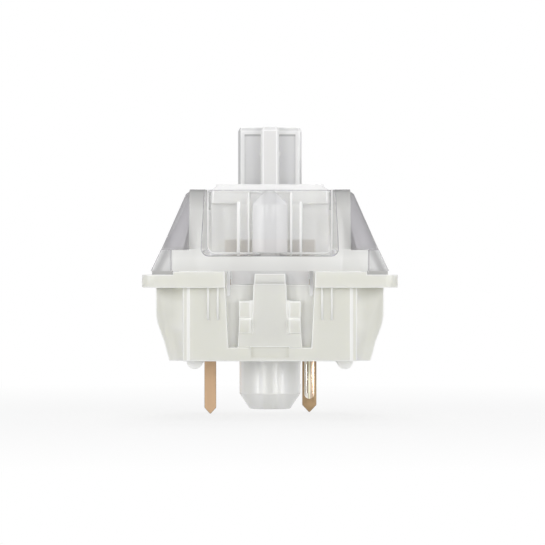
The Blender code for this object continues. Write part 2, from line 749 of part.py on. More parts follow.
def stem_cross():
    """The cross that a keycap is pressed onto, with its small nubs."""
    pieces = []
    low = STEM_PLATE - OVERLAP
    inset, drop = CROSS_CROWN
    side_border, top_border, depth = CROSS_PANEL
    for name, half_x, half_y in (
        ("cross_wide", CROSS_ARM, CROSS_WIDE_HALF),
        ("cross_thin", CROSS_THIN_HALF, CROSS_ARM),
    ):
        outline = chamfered_rectangle(half_x, half_y, CROSS_EDGE)
        crown = chamfered_rectangle(half_x - inset, half_y - inset, CROSS_EDGE / 2)
        pieces.append(loft(name, ((low, outline), (CROSS_TOP - drop, outline), (CROSS_TOP, crown))))
    x = (-CROSS_ARM + side_border, CROSS_ARM - side_border)
    z = (low - THROUGH, CROSS_TOP - top_border)
    panels = []
    for end in (-1, 1):
        y = sorted((end * (CROSS_WIDE_HALF - depth), end * (CROSS_WIDE_HALF + THROUGH)))
        panels.append(block("cross_panel", x, y, z))
    cut(pieces[0], panels)
    middle = CROSS_THIN_HALF + NUB_PROUD - NUB_R
    angles = [math.tau * i / 16 for i in range(16)]
    for side in (-1, 1):
        nub = [(side * middle + NUB_R * math.cos(a), NUB_Z + NUB_R * math.sin(a)) for a in angles]
        for end in (-1, 1):
            y = end * NUB_Y
            pieces.append(prism("cross_nub", nub, y - NUB_LENGTH / 2, y + NUB_LENGTH / 2, "XZ"))
    return pieces


def stem():
    block_outline = rounded_rectangle(STEM_X, STEM_Y, STEM_CORNER, 3)
    plate_outline = rounded_rectangle(STEM_PLATE_X, STEM_PLATE_Y, STEM_PLATE_CORNER, 3)
    sections = (
        (STEM_SKIRT, block_outline),
        (STEM_SHOULDER, block_outline),
        (STEM_PLATE_BEVEL_Z, plate_outline),
        (STEM_PLATE, plate_outline),
    )
    body = loft("stem", sections, "XY", WHITE)
    join(body, stem_rails() + stem_cross())
    cut(body, stem_face_cuts() + [stem_cup()])
    join(body, stem_legs() + [stem_pole()])


# Spring and contacts

def return_spring():
    """A compression spring whose first and last turns lie almost flat."""
    turns = OPEN_TURNS + 2 * END_TURNS
    count = round(turns * STEPS_PER_TURN)
    low, high = SPRING_FOOT + WIRE_R, SPRING_HEAD - WIRE_R
    end_rise = END_TURNS * 2.3 * WIRE_R
    bm = bmesh.new()
    rings = []
    for i in range(count + 1):
        turn = i / STEPS_PER_TURN
        if turn < END_TURNS:
            z = low + end_rise * turn / END_TURNS
        elif turn > turns - END_TURNS:
            z = high - end_rise * (turns - turn) / END_TURNS
        else:
            share = (turn - END_TURNS) / OPEN_TURNS
            z = low + end_rise + (high - low - 2 * end_rise) * share
        angle = math.tau * turn
        outward = Vector((math.cos(angle), math.sin(angle), 0.0))
        centre = outward * COIL_R + Vector((0.0, 0.0, z))
        ring = []
        for k in range(WIRE_SIDES):
            around = math.tau * k / WIRE_SIDES
            offset = outward * math.cos(around) + Vector((0.0, 0.0, math.sin(around)))
            ring.append(bm.verts.new(centre + offset * WIRE_R))
        rings.append(ring)
    for near, far in zip(rings, rings[1:]):
        for k in range(WIRE_SIDES):
            after = (k + 1) % WIRE_SIDES
            bm.faces.new((near[k], near[after], far[after], far[k]))
    bm.faces.new(rings[0][::-1])
    bm.faces.new(rings[-1])
    shaded_round(as_object("return_spring", bm, STEEL))


def pin_outline(half, shoulder, point_start):
    """A flat pin with a point."""
    return symmetric(((PIN_TIP, half * 0.08), (point_start, half), (shoulder, half)))


def fixed_contact():
    """A blade between the stem's legs, a folded foot along the floor, and the pin under the foot's end."""
    contact = block(
        "fixed_contact",
        (-FIXED_HALF, FIXED_HALF),
        (FIXED_Y - SHEET / 2, FIXED_Y + SHEET / 2),
        (CONTACT_FOOT, FIXED_TOP),
        COPPER,
    )
    x, y = FIXED_PIN
    path = ((FIXED_HALF, FIXED_Y), (FIXED_BEND_X[0], FIXED_Y), (FIXED_BEND_X[1], y), (FIXED_BEND_X[2], y))
    pin = [(x + u, v) for u, v in pin_outline(FIXED_PIN_HALF, CONTACT_FOOT + OVERLAP, FIXED_POINT_START)]
    foot = prism("fixed_foot", strip_outline(path, SHEET), CONTACT_FOOT, FIXED_FOOT_TOP)
    join(contact, [foot, prism("fixed_pin", pin, y - SHEET / 2, y + SHEET / 2, "XZ")])


def bead_outline(x, half, end):
    """The pin's bead seen from the front: straight sides and a round lower end."""
    outline = [(x + half, BEAD_TOP), (x - half, BEAD_TOP)]
    steps = 8
    for i in range(steps + 1):
        angle = math.pi * (1 + i / steps)
        outline.append((x + half * math.cos(angle), end + half * math.sin(angle)))
    return outline


def moving_contact_terminal():
    """The plate that carries the leaf, and a pin stiffened by a bead with a round end."""
    x, y = MOVING_PIN
    near, far = y - SHEET / 2, y + SHEET / 2
    height = (CONTACT_FOOT, MOVING_PLATE_TOP)
    terminal = block("moving_contact_terminal", MOVING_PLATE_X, (near, far), height, COPPER)
    pin = [(x + u, v) for u, v in pin_outline(MOVING_PIN_HALF, CONTACT_FOOT + OVERLAP, MOVING_POINT_START)]
    foot, crest = (bead_outline(x, half, end) for half, end in zip(BEAD_HALF, BEAD_END))
    sections = ((near - BEAD_PROUD, crest), (near, foot), (near + OVERLAP / 2, foot))
    join(terminal, [prism("moving_pin", pin, near, far, "XZ"), loft("pin_bead", sections, "XZ")])


def at_hinge(obj):
    """Moves the object's origin onto the leaf's hinge line and leaves its shape where it is."""
    hinge = Vector((0.0, LEAF_ROOT_Y, LEAF_FOOT)) * MM
    for vertex in obj.data.vertices:
        vertex.co -= hinge
    obj.location = hinge
    return obj


def leaf_y(z):
    """The y of the leaf's middle surface at a height."""
    for (y0, z0), (y1, z1) in zip(LEAF_PATH, LEAF_PATH[1:]):
        if z0 <= z <= z1:
            return y0 + (y1 - y0) * (z - z0) / (z1 - z0)
    raise ValueError("the leaf does not reach this height")


def moving_contact_leaf():
    """A bent spring leaf. Its ridge rests near the stem's legs, and its two windows make it supple."""
    outline = strip_outline(LEAF_PATH, LEAF_T)
    leaf = at_hinge(prism("moving_contact_leaf", outline, -LEAF_HALF, LEAF_HALF, "YZ", COPPER))
    y = (LEAF_ROOT_Y - THROUGH, LEAF_ROOT_Y + THROUGH)
    windows = []
    for side in (-1, 1):
        x = sorted((side * LEAF_WINDOW_X[0], side * LEAF_WINDOW_X[1]))
        windows.append(block("leaf_window", x, y, LEAF_WINDOW_Z))
    cut(leaf, windows)


def contact_points():
    """Two crossed bars: the fixed one lies along X, the leaf's one stands along Z."""
    base = FIXED_Y + SHEET / 2 + SEAM / 2
    tip = base + FIXED_POINT_PROUD
    half = POINT_WIDTH / 2
    edge = half / 3
    bar = [(base, CONTACT_Z - half), (tip, CONTACT_Z - edge)]
    bar += [(tip, CONTACT_Z + edge), (base, CONTACT_Z + half)]
    prism("fixed_contact_point", bar, -POINT_HALF, POINT_HALF, "YZ", SILVER)
    reach = tip + CONTACT_GAP
    backs = [leaf_y(CONTACT_Z + end * POINT_HALF) - LEAF_T / 2 - SEAM for end in (-1, 1)]
    low, high = CONTACT_Z - POINT_HALF, CONTACT_Z + POINT_HALF
    bm = bmesh.new()
    rings = []
    for z, back in ((low, backs[0]), (high, backs[1])):
        corners = ((-half, back), (-edge, reach), (edge, reach), (half, back))
        rings.append([bm.verts.new((x, y, z)) for x, y in corners])
    for i in range(4):
        j = (i + 1) % 4
        bm.faces.new((rings[0][i], rings[0][j], rings[1][j], rings[1][i]))
    bm.faces.new(rings[0][::-1])
    bm.faces.new(rings[1])
    at_hinge(as_object("moving_contact_point", bm, SILVER))


def clear_scene():
    for obj in list(bpy.data.objects):
        bpy.data.objects.remove(obj)


clear_scene()
lower_housing()
upper_housing()
light_guide()
fixed_contact()
moving_contact_terminal()
moving_contact_leaf()
contact_points()
return_spring()
stem()
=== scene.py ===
import math

import bmesh
import bpy
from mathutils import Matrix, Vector
from mathutils.bvhtree import BVHTree


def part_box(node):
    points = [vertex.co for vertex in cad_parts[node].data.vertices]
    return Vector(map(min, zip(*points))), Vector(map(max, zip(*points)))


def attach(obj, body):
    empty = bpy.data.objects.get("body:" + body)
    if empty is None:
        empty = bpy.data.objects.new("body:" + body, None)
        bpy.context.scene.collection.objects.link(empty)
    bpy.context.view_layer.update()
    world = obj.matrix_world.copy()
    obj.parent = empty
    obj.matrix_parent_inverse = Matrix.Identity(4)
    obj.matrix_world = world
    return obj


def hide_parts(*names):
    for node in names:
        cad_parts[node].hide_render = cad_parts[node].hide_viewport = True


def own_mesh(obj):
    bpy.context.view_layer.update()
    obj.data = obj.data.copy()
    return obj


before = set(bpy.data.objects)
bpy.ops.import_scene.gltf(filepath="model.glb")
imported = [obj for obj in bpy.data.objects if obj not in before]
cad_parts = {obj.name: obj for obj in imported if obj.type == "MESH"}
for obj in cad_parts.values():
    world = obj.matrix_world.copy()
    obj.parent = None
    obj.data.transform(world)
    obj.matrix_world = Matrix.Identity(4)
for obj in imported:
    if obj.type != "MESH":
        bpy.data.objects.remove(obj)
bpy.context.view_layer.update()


# Lower housing
# The base is moulded in a milky, slightly warm plastic, in one piece with the flange, the two plate tongues
# and the centre post. Its edges are a little round from the mould, and are painted lighter as a highlight.

MM = 0.001  # sizes below are in mm, apart from those of the studio's lamps and floor
MERGE_DISTANCE = 0.0005 * MM
FLAT_ANGLE = math.radians(0.5)
EDGE_ANGLE = math.radians(28)
SMOOTH_ANGLE = math.radians(38)
EDGE_ROOM = 1.7  # a face is at least this many times as wide as the rounding at its edge


def cleaned_copy(node, name, merge=MERGE_DISTANCE):
    """A copy of a node's mesh as a new piece, with its triangles merged into whole flat faces."""
    piece = bpy.data.objects.new(name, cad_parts[node].data.copy())
    piece.data.materials.clear()
    bpy.context.scene.collection.objects.link(piece)
    bpy.ops.object.select_all(action="DESELECT")
    piece.select_set(True)
    bpy.context.view_layer.objects.active = piece
    bpy.ops.object.mode_set(mode="EDIT")
    bpy.ops.mesh.select_all(action="SELECT")
    bpy.ops.mesh.remove_doubles(threshold=merge)
    bpy.ops.mesh.dissolve_limited(angle_limit=FLAT_ANGLE)
    bpy.ops.object.mode_set(mode="OBJECT")
    return piece


def any_edge(edge):
    """The choice that leaves no edge out."""
    return True


def face_width(face):
    """About how wide a face is: its area over its longest edge."""
    return face.calc_area() / max(edge.calc_length() for edge in face.edges)


def round_edges(piece, width, chosen=any_edge, finish=1, inward=False):
    """Rounds the sharp edges that chosen picks: the outward ones, or the inward ones where inward is set.
    Edges of faces too narrow for it stay. The new faces take the piece's material number finish."""
    mesh = bmesh.new()
    mesh.from_mesh(piece.data)
    layers = mesh.edges.layers.float
    weight = layers.get("bevel_weight_edge") or layers.new("bevel_weight_edge")
    for edge in mesh.edges:
        edge[weight] = 0.0
        if not edge.is_manifold or not chosen(edge):
            continue
        angle = edge.calc_face_angle_signed() * (-1 if inward else 1)
        if angle > EDGE_ANGLE and min(face_width(face) for face in edge.link_faces) > EDGE_ROOM * width:
            edge[weight] = 1.0
    mesh.to_mesh(piece.data)
    mesh.free()
    bpy.ops.object.select_all(action="DESELECT")
    piece.select_set(True)
    bpy.context.view_layer.objects.active = piece
    bevel = piece.modifiers.new("Round edges", "BEVEL")
    bevel.width = width
    bevel.segments = 3
    bevel.limit_method = "WEIGHT"
    bevel.use_clamp_overlap = False
    bevel.material = finish
    bpy.ops.object.modifier_apply(modifier=bevel.name)


def smooth(piece):
    """Smooth shading on the round edges, with the flat faces kept flat."""
    bpy.ops.object.select_all(action="DESELECT")
    piece.select_set(True)
    bpy.context.view_layer.objects.active = piece
    bpy.ops.object.shade_smooth_by_angle(angle=SMOOTH_ANGLE)
    flats = piece.modifiers.new("Keep flats flat", "WEIGHTED_NORMAL")
    flats.weight = 100
    flats.keep_sharp = True
    bpy.ops.object.modifier_apply(modifier=flats.name)


ALONG_X = (1.0, 0.0)
ALONG_Z = (0.0, 1.0)


def shade(nodes, links, shades, across, mirrored):
    """A colour that changes along a line in the piece: shades gives it in mm along the line, and across how
    much X and Z count. With mirrored set, both sides of the piece are alike."""
    place = nodes.new("ShaderNodeTexCoord")
    parts = nodes.new("ShaderNodeSeparateXYZ")
    links.new(place.outputs["Object"], parts.inputs["Vector"])
    side = nodes.new("ShaderNodeMath")
    side.operation = "MULTIPLY"
    side.inputs[1].default_value = across[0]
    links.new(parts.outputs["X"], side.inputs[0])
    if mirrored:
        both = nodes.new("ShaderNodeMath")
        both.operation = "ABSOLUTE"
        links.new(parts.outputs["X"], both.inputs[0])
        links.new(both.outputs["Value"], side.inputs[0])
    way = nodes.new("ShaderNodeMath")
    way.operation = "MULTIPLY_ADD"
    way.inputs[1].default_value = across[1]
    links.new(parts.outputs["Z"], way.inputs[0])
    links.new(side.outputs["Value"], way.inputs[2])
    low, high = shades[0][0], shades[-1][0]
    span = nodes.new("ShaderNodeMapRange")
    span.inputs["From Min"].default_value = low * MM
    span.inputs["From Max"].default_value = high * MM
    links.new(way.outputs["Value"], span.inputs["Value"])
    ramp = nodes.new("ShaderNodeValToRGB")
    stops = ramp.color_ramp.elements
    while len(stops) < len(shades):
        stops.new(0.5)
    for stop, (along, colour) in zip(stops, shades):
        stop.position = (along - low) / (high - low)
        stop.color = (*colour, 1.0)
    links.new(span.outputs["Result"], ramp.inputs["Fac"])
    return ramp.outputs["Color"]


def grey(value, warm=0.0):
    """A grey that leans to yellow with warm, and to lilac where warm is below 0."""
    return (value, value * (1 + min(0.0, warm)), value * (1 - warm))


CLOUD_LIGHT = (0.985, 1.015)  # how far the faint clouds in a plastic darken and lighten its colour
CLOUD_GLOSS = (0.85, 1.15)  # and how far they change its roughness


def plastic(name, shades, roughness, grain=0.02, scatter=0.0, coat=0.0, across=ALONG_Z):
    """Moulded plastic: faint clouds in the colour, a light-scattering body and a finely uneven skin. The
    colour is plain, or changes along Z as shades says, or along another line that across gives."""
    material = bpy.data.materials.new(name)
    material.use_nodes = True
    nodes, links = material.node_tree.nodes, material.node_tree.links
    shader = nodes["Principled BSDF"]
    shader.inputs["IOR"].default_value = 1.5
    shader.inputs["Coat Weight"].default_value = coat
    shader.inputs["Coat Roughness"].default_value = 0.28
    shader.inputs["Coat IOR"].default_value = 1.9
    place = nodes.new("ShaderNodeTexCoord")
    clouds = nodes.new("ShaderNodeTexNoise")
    clouds.inputs["Scale"].default_value = 260.0
    clouds.inputs["Detail"].default_value = 3.0
    links.new(place.outputs["Object"], clouds.inputs["Vector"])
    light = nodes.new("ShaderNodeMapRange")
    light.inputs["To Min"].default_value = CLOUD_LIGHT[0]
    light.inputs["To Max"].default_value = CLOUD_LIGHT[1]
    links.new(clouds.outputs["Fac"], light.inputs["Value"])
    tint = nodes.new("ShaderNodeVectorMath")
    tint.operation = "SCALE"
    links.new(light.outputs["Result"], tint.inputs["Scale"])
    if isinstance(shades[0], float):
        tint.inputs["Vector"].default_value = shades
    else:
        links.new(shade(nodes, links, shades, across, True), tint.inputs["Vector"])
    links.new(tint.outputs["Vector"], shader.inputs["Base Color"])
    gloss = nodes.new("ShaderNodeMapRange")
    gloss.inputs["To Min"].default_value = roughness * CLOUD_GLOSS[0]
    gloss.inputs["To Max"].default_value = roughness * CLOUD_GLOSS[1]
    links.new(clouds.outputs["Fac"], gloss.inputs["Value"])
    links.new(gloss.outputs["Result"], shader.inputs["Roughness"])
    skin = nodes.new("ShaderNodeTexNoise")
    skin.inputs["Scale"].default_value = 5200.0
    skin.inputs["Detail"].default_value = 2.0
    bump = nodes.new("ShaderNodeBump")
    bump.inputs["Strength"].default_value = grain
    bump.inputs["Distance"].default_value = 0.05 * MM
    links.new(place.outputs["Object"], skin.inputs["Vector"])
    links.new(skin.outputs["Fac"], bump.inputs["Height"])
    links.new(bump.outputs["Normal"], shader.inputs["Normal"])
    shader.inputs["Subsurface Weight"].default_value = scatter
    shader.inputs["Subsurface Radius"].default_value = (1.0, 1.0, 0.9)
    shader.inputs["Subsurface Scale"].default_value = 0.8 * MM
    return material


# Shades are places in mm along a line, each with its colour. Here that line is the X axis.
# Painted highlights and painted light on the post and feet: a colour lighter than the base's, against the
# shade under it, with a light streak down each side of the post's middle and a light rim at its sides.
POST_HIGHLIGHT_SHADES = (
    (0.0, grey(0.87, 0.03)), (0.35, grey(0.87, 0.03)), (0.62, grey(0.99, 0.03)), (0.88, grey(0.99, 0.03)),
    (1.2, grey(0.90, 0.03)), (1.6, grey(0.88, 0.03)), (1.8, grey(0.98, 0.03)), (2.0, grey(0.91, 0.03)),
)
# Painted light beside the corner columns: lighter next to each column, where shade falls, and plain further
# out.
NICHE_PAINTED_LIGHT = (
    (5.3, grey(0.96, 0.06)), (5.6, grey(0.89, 0.06)), (6.0, grey(0.77, 0.07)), (6.4, grey(0.74, 0.07)),
)
# And here it is the Z axis.
# Painted light on the backs of the slots, which lie in the tongues' shade: lightest at the bottom.
SLOT_PAINTED_LIGHT = (
    (1.35, grey(0.97, 0.05)), (2.5, grey(0.93, 0.05)), (3.6, grey(0.89, 0.05)), (5.2, grey(0.78, 0.05)),
)
MILKY = plastic("milky plastic", (0.76, 0.76, 0.70), 0.3, grain=0.04, scatter=0.8)
# Painted highlight: the rounded edges, crush ribs, column corners and slot sides take this lighter colour.
MILKY_EDGE_HIGHLIGHT = plastic("milky plastic with painted edge highlight", (0.94, 0.94, 0.915), 0.25)
MILKY_POST_HIGHLIGHTS = plastic(
    "milky plastic with painted highlights", POST_HIGHLIGHT_SHADES, 0.25, grain=0.03, scatter=0.5, coat=1.0, across=ALONG_X
)
# Painted light: the pads beside the tongues, which lie in their shade, are coloured near white.
MILKY_PAD_PAINTED_LIGHT = plastic("milky plastic pads with painted light", (0.98, 0.98, 0.955), 0.3, grain=0.03)
MILKY_SLOT_PAINTED_LIGHT = plastic("milky plastic slot with painted light", SLOT_PAINTED_LIGHT, 0.3, grain=0.03, scatter=0.5)
MILKY_NICHE_PAINTED_LIGHT = plastic(
    "milky plastic with painted light beside the columns", NICHE_PAINTED_LIGHT, 0.3, grain=0.04, scatter=0.8, across=ALONG_X
)
BASE_FINISHES = (MILKY, MILKY_EDGE_HIGHLIGHT, MILKY_POST_HIGHLIGHTS, MILKY_PAD_PAINTED_LIGHT, MILKY_SLOT_PAINTED_LIGHT, MILKY_NICHE_PAINTED_LIGHT)

SLIVER = 0.02  # steps finer than this, left where the barbs meet the tongues, are closed
ROUNDING = 0.05  # radius of most edges
UNDERSIDE_Z = 0.49  # only the post and the feet are lower
PLATE_Z = 5.0  # underside of the flange
OUT = 20.0  # past everything
ALL = (0.0, OUT)
# Boxes as ranges of |X|, |Y| and Z
CORNER_COLUMNS = ((4.8, OUT), (6.8, OUT), (UNDERSIDE_Z, PLATE_Z))
CRUSH_RIBS = ((3.0, 3.95), (7.01, OUT), (UNDERSIDE_Z, PLATE_Z))
SLOT_SIDES = ((2.4, 2.9), (5.8, OUT), (1.3, 5.9))
TONGUE_PADS = ((1.1, 1.95), (6.7, 6.9), (2.15, 4.3))
SLOT_BACKS = ((0.0, 2.45), (5.7, 6.4), (1.3, OUT))
NICHES = ((5.3, OUT), (5.35, 5.45), (UNDERSIDE_Z, PLATE_Z))
DIMPLES = ((0.0, 1.2), (6.98, OUT), (0.7, 1.4))
# How much of a face's normal lies along an axis
FACING = 0.9  # a face that looks along it has more
SLANTED = 0.5  # one that slants towards it has more
TURNED = 0.2  # one that is turned a little towards it has more


def inside(place, box):
    """True for a place in a box that is given once for all four quarters of the switch."""
    x, y, z = place / MM
    return all(low <= along <= high for along, (low, high) in zip((abs(x), abs(y), z), box))


def base_finish(face):
    """The base's material on a face: ribs, columns and slot sides get a painted highlight, the post and
    feet painted highlights, and the pads, the slots' backs and the niches beside the columns painted light."""
    across, along = abs(face.normal.x), abs(face.normal.y)
    if face.center.z < UNDERSIDE_Z * MM:
        # The post and feet take the painted highlights.
        return MILKY_POST_HIGHLIGHTS
    if inside(face.center, CORNER_COLUMNS) and SLANTED < across < FACING:
        return MILKY_EDGE_HIGHLIGHT
    if inside(face.center, CRUSH_RIBS) or inside(face.center, SLOT_SIDES) and across > SLANTED:
        return MILKY_EDGE_HIGHLIGHT
    if inside(face.center, TONGUE_PADS) and across < TURNED:
        return MILKY_PAD_PAINTED_LIGHT
    if inside(face.center, SLOT_BACKS) and along > FACING:
        return MILKY_SLOT_PAINTED_LIGHT
    if inside(face.center, NICHES) and along > FACING:
        return MILKY_NICHE_PAINTED_LIGHT
    return MILKY


def not_dimple(edge):
    """Every edge apart from those of the shallow mark under each tongue."""
    return not all(inside(vertex.co, DIMPLES) for vertex in edge.verts)


base = cleaned_copy("lower_housing", "milky_base", SLIVER * MM)
for material in BASE_FINISHES:
    base.data.materials.append(material)
for face in base.data.polygons:
    face.material_index = BASE_FINISHES.index(base_finish(face))
round_edges(base, ROUNDING * MM, not_dimple)
smooth(base)
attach(base, "housing")
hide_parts("lower_housing")


# Contacts
# Three stamped copper-alloy parts: a blade with the left pin, a plate with the beaded right pin, and a
# thin spring leaf. A small bar of contact metal is welded to the blade and to the leaf.

LINE_LIGHT = (0.93, 1.07)  # how far the drawn lines in a metal darken and lighten its colour
LINE_GLOSS = (0.75, 1.25)  # and how far they change its roughness


def metal(name, colour, roughness, grain_scale):
    """Rolled strip: a metal with fine drawn lines along Z. Its colour is plain, or changes along X."""
    material = bpy.data.materials.new(name)
    material.use_nodes = True
    nodes, links = material.node_tree.nodes, material.node_tree.links
    shader = nodes["Principled BSDF"]
    shader.inputs["Metallic"].default_value = 1.0
    place = nodes.new("ShaderNodeTexCoord")
    stretch = nodes.new("ShaderNodeMapping")
    stretch.inputs["Scale"].default_value = (1.0, 1.0, 0.06)
    lines = nodes.new("ShaderNodeTexNoise")
    lines.inputs["Scale"].default_value = grain_scale
    lines.inputs["Detail"].default_value = 4.0
    links.new(place.outputs["Object"], stretch.inputs["Vector"])
    links.new(stretch.outputs["Vector"], lines.inputs["Vector"])
    light = nodes.new("ShaderNodeMapRange")
    light.inputs["To Min"].default_value = LINE_LIGHT[0]
    light.inputs["To Max"].default_value = LINE_LIGHT[1]
    links.new(lines.outputs["Fac"], light.inputs["Value"])
    tint = nodes.new("ShaderNodeVectorMath")
    tint.operation = "SCALE"
    links.new(light.outputs["Result"], tint.inputs["Scale"])
    if isinstance(colour[0], float):
        tint.inputs["Vector"].default_value = colour
    else:
        links.new(shade(nodes, links, colour, ALONG_X, False), tint.inputs["Vector"])
    links.new(tint.outputs["Vector"], shader.inputs["Base Color"])
    gloss = nodes.new("ShaderNodeMapRange")
    gloss.inputs["To Min"].default_value = roughness * LINE_GLOSS[0]
    gloss.inputs["To Max"].default_value = roughness * LINE_GLOSS[1]
    links.new(lines.outputs["Fac"], gloss.inputs["Value"])
    links.new(gloss.outputs["Result"], shader.inputs["Roughness"])
    bump = nodes.new("ShaderNodeBump")
    bump.inputs["Strength"].default_value = 0.08
    bump.inputs["Distance"].default_value = 0.02 * MM
    links.new(lines.outputs["Fac"], bump.inputs["Height"])
    links.new(bump.outputs["Normal"], shader.inputs["Normal"])
    return material


COPPER = metal("copper alloy strip", (0.54, 0.37, 0.235), 0.35, 5000.0)
COPPER_DARK = metal("darker copper alloy strip", (0.38, 0.265, 0.155), 0.35, 5000.0)
# Painted shade: the rounded edges of the strips are coloured darker.
COPPER_EDGE_SHADE = metal("copper alloy with painted edge shade", (0.36, 0.28, 0.20), 0.3, 5000.0)
# Painted highlights and painted shade across the bead of the right pin: a white flank, a dark line, a
# yellowish crest, tan and brown bands and a cream flank.
BEAD_PAINTED_HIGHLIGHTS = (
    (2.2, (0.99, 0.96, 0.90)), (2.43, (0.99, 0.96, 0.90)), (2.465, (0.40, 0.32, 0.23)),
    (2.50, (0.97, 0.95, 0.74)), (2.58, (0.97, 0.94, 0.72)), (2.60, (0.74, 0.60, 0.47)),
    (2.69, (0.74, 0.58, 0.45)), (2.73, (0.42, 0.28, 0.19)), (2.77, (0.98, 0.78, 0.60)),
    (2.95, (0.98, 0.80, 0.62)),
)
COPPER_PAINTED_SHINE = metal("copper alloy with painted bead highlights", BEAD_PAINTED_HIGHLIGHTS, 0.2, 5000.0)
CONTACT_METAL = metal("contact metal", (0.80, 0.74, 0.60), 0.2, 9000.0)
STRIP_ROUNDING = 0.03
BEAD_RISE = (0.02, 0.14)  # how far the faces of the bead stand out of the pin
TERMINAL = "moving_contact_terminal"

for node, name, body in (
    ("fixed_contact", "left_blade", "housing"),
    (TERMINAL, "right_plate", "housing"),
    ("moving_contact_leaf", "spring_leaf", "leaf"),
):
    strip = cleaned_copy(node, name)
    plate_front = max(strip.data.polygons, key=lambda face: -face.normal.y * face.area).center.y
    finishes = (COPPER_DARK if node == TERMINAL else COPPER, COPPER_EDGE_SHADE, COPPER_PAINTED_SHINE)
    for material in finishes:
        strip.data.materials.append(material)
    for face in strip.data.polygons:
        # The faces of the bead take the painted highlights.
        if node == TERMINAL and face.center.z < UNDERSIDE_Z * MM:
            proud = (plate_front - face.center.y) / MM
            if BEAD_RISE[0] < proud < BEAD_RISE[1] and face.normal.y < -TURNED:
                face.material_index = finishes.index(COPPER_PAINTED_SHINE)
    round_edges(strip, STRIP_ROUNDING * MM)
    smooth(strip)
    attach(strip, body)
    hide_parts(node)

for node, name, body in (
    ("fixed_contact_point", "left_contact_bar", "housing"),
    ("moving_contact_point", "leaf_contact_bar", "leaf"),
):
    bar = cleaned_copy(node, name)
    bar.data.materials.append(CONTACT_METAL)
    round_edges(bar, STRIP_ROUNDING * MM, finish=0)
    smooth(bar)
    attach(bar, body)
    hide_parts(node)


# Return spring
# A compression spring of drawn steel wire. It stands on the base's floor, round the guide tube, and carries
# the stem. Its two end turns lie almost flat.

WIRE_R = 0.11 * MM
OPEN_TURNS = 8.0
END_TURNS = 1.25
POINTS_PER_TURN = 40
END_PITCH = 2.3 * WIRE_R  # rise of an end turn

STEEL = metal("spring steel", (0.62, 0.62, 0.64), 0.22, 9000.0)


def coil_points(low, high, radius):
    """Points along the wire's centreline, in three stretches: flat, open, flat."""
    turns = OPEN_TURNS + 2 * END_TURNS
    end_rise = END_TURNS * END_PITCH
    points = []
    for step in range(round(turns * POINTS_PER_TURN) + 1):
        turn = step / POINTS_PER_TURN
        if turn < END_TURNS:
            z = low + end_rise * turn / END_TURNS
        elif turn > turns - END_TURNS:
            z = high - end_rise * (turns - turn) / END_TURNS
        else:
            z = low + end_rise + (high - low - 2 * end_rise) * (turn - END_TURNS) / OPEN_TURNS
        angle = math.tau * turn
        points.append((radius * math.cos(angle), radius * math.sin(angle), z))
    return points


spring_low, spring_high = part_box("return_spring")
coil = coil_points(spring_low.z + WIRE_R, spring_high.z - WIRE_R, spring_high.x - WIRE_R)
wire = bpy.data.curves.new("steel_coil", "CURVE")
wire.dimensions = "3D"
wire.bevel_depth = WIRE_R
wire.bevel_resolution = 4
wire.use_fill_caps = True
line = wire.splines.new("POLY")
line.points.add(len(coil) - 1)
for point, place in zip(line.points, coil):
    point.co = (*place, 1.0)
spring = bpy.data.objects.new("steel_coil", wire)
bpy.context.scene.collection.objects.link(spring)
bpy.ops.object.select_all(action="DESELECT")
spring.select_set(True)
bpy.context.view_layer.objects.active = spring
bpy.ops.object.convert(target="MESH")
bpy.ops.object.shade_smooth_by_angle(angle=SMOOTH_ANGLE)
spring.data.materials.append(STEEL)
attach(spring, "housing")
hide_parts("return_spring")

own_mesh(spring)


# Stem
# The slider is moulded in a whiter plastic that lets some light through. A keycap is pressed onto its
# cross.

# Painted light: the stem is lighter towards its foot, behind the window, where shade falls inside the
# cover.
STEM_PAINTED_LIGHT = (
    (6.9, grey(0.94, 0.02)), (7.6, grey(0.88, 0.02)), (8.3, grey(0.81, 0.02)), (9.2, grey(0.76, 0.02)),
    (10.2, grey(0.75, 0.02)), (11.1, grey(0.76, 0.01)), (15.0, grey(0.78, 0.01)),
)
# Painted light and shade on the stem's front and back faces: much lighter towards the foot, darker from
# 10.25 mm up.
BAR_PAINTED_LIGHT = (
    (6.9, grey(0.97, 0.02)), (8.3, grey(0.93, 0.02)), (9.2, grey(0.88, 0.02)), (10.15, grey(0.86, 0.02)),
    (10.25, grey(0.73, 0.02)), (11.0, grey(0.73, 0.02)),
)
# Painted shade on the recessed panels of the cross: a little darker towards the bottom, with a dark line
# along the top, under the rim.
PANEL_PAINTED_SHADE = (
    (11.4, grey(0.745)), (13.5, grey(0.77)), (14.47, grey(0.79)), (14.53, grey(0.56)), (14.62, grey(0.56)),
)
WHITE = plastic("stem plastic", STEM_PAINTED_LIGHT, 0.3, grain=0.04, scatter=0.5)
WHITE_PANEL = plastic("stem plastic panel", PANEL_PAINTED_SHADE, 0.3, grain=0.04, scatter=0.5)
# Painted shade for the side of the cross turned from the light.
WHITE_PAINTED_SHADE = plastic("stem plastic with painted shade", (0.56, 0.56, 0.56), 0.3)
# Painted highlight: the rounded edges of the stem and of the light guide are coloured near white.
WHITE_EDGE_HIGHLIGHT = plastic("stem plastic with painted edge highlight", (0.97, 0.97, 0.96), 0.25)
WHITE_ARM = plastic("stem plastic arm", (0.80, 0.795, 0.785), 0.3, grain=0.04, scatter=0.5)
WHITE_BAR = plastic("stem plastic guide bar", BAR_PAINTED_LIGHT, 0.3, grain=0.04, scatter=0.5)
# Painted highlight: the rims round the recessed panels of the cross are coloured lighter.
WHITE_RIM_HIGHLIGHT = plastic("stem plastic rim with painted highlight", (0.90, 0.90, 0.89), 0.3, grain=0.04)
STEM_FINISHES = (WHITE, WHITE_EDGE_HIGHLIGHT, WHITE_ARM, WHITE_PANEL, WHITE_PAINTED_SHADE, WHITE_BAR, WHITE_RIM_HIGHLIGHT)

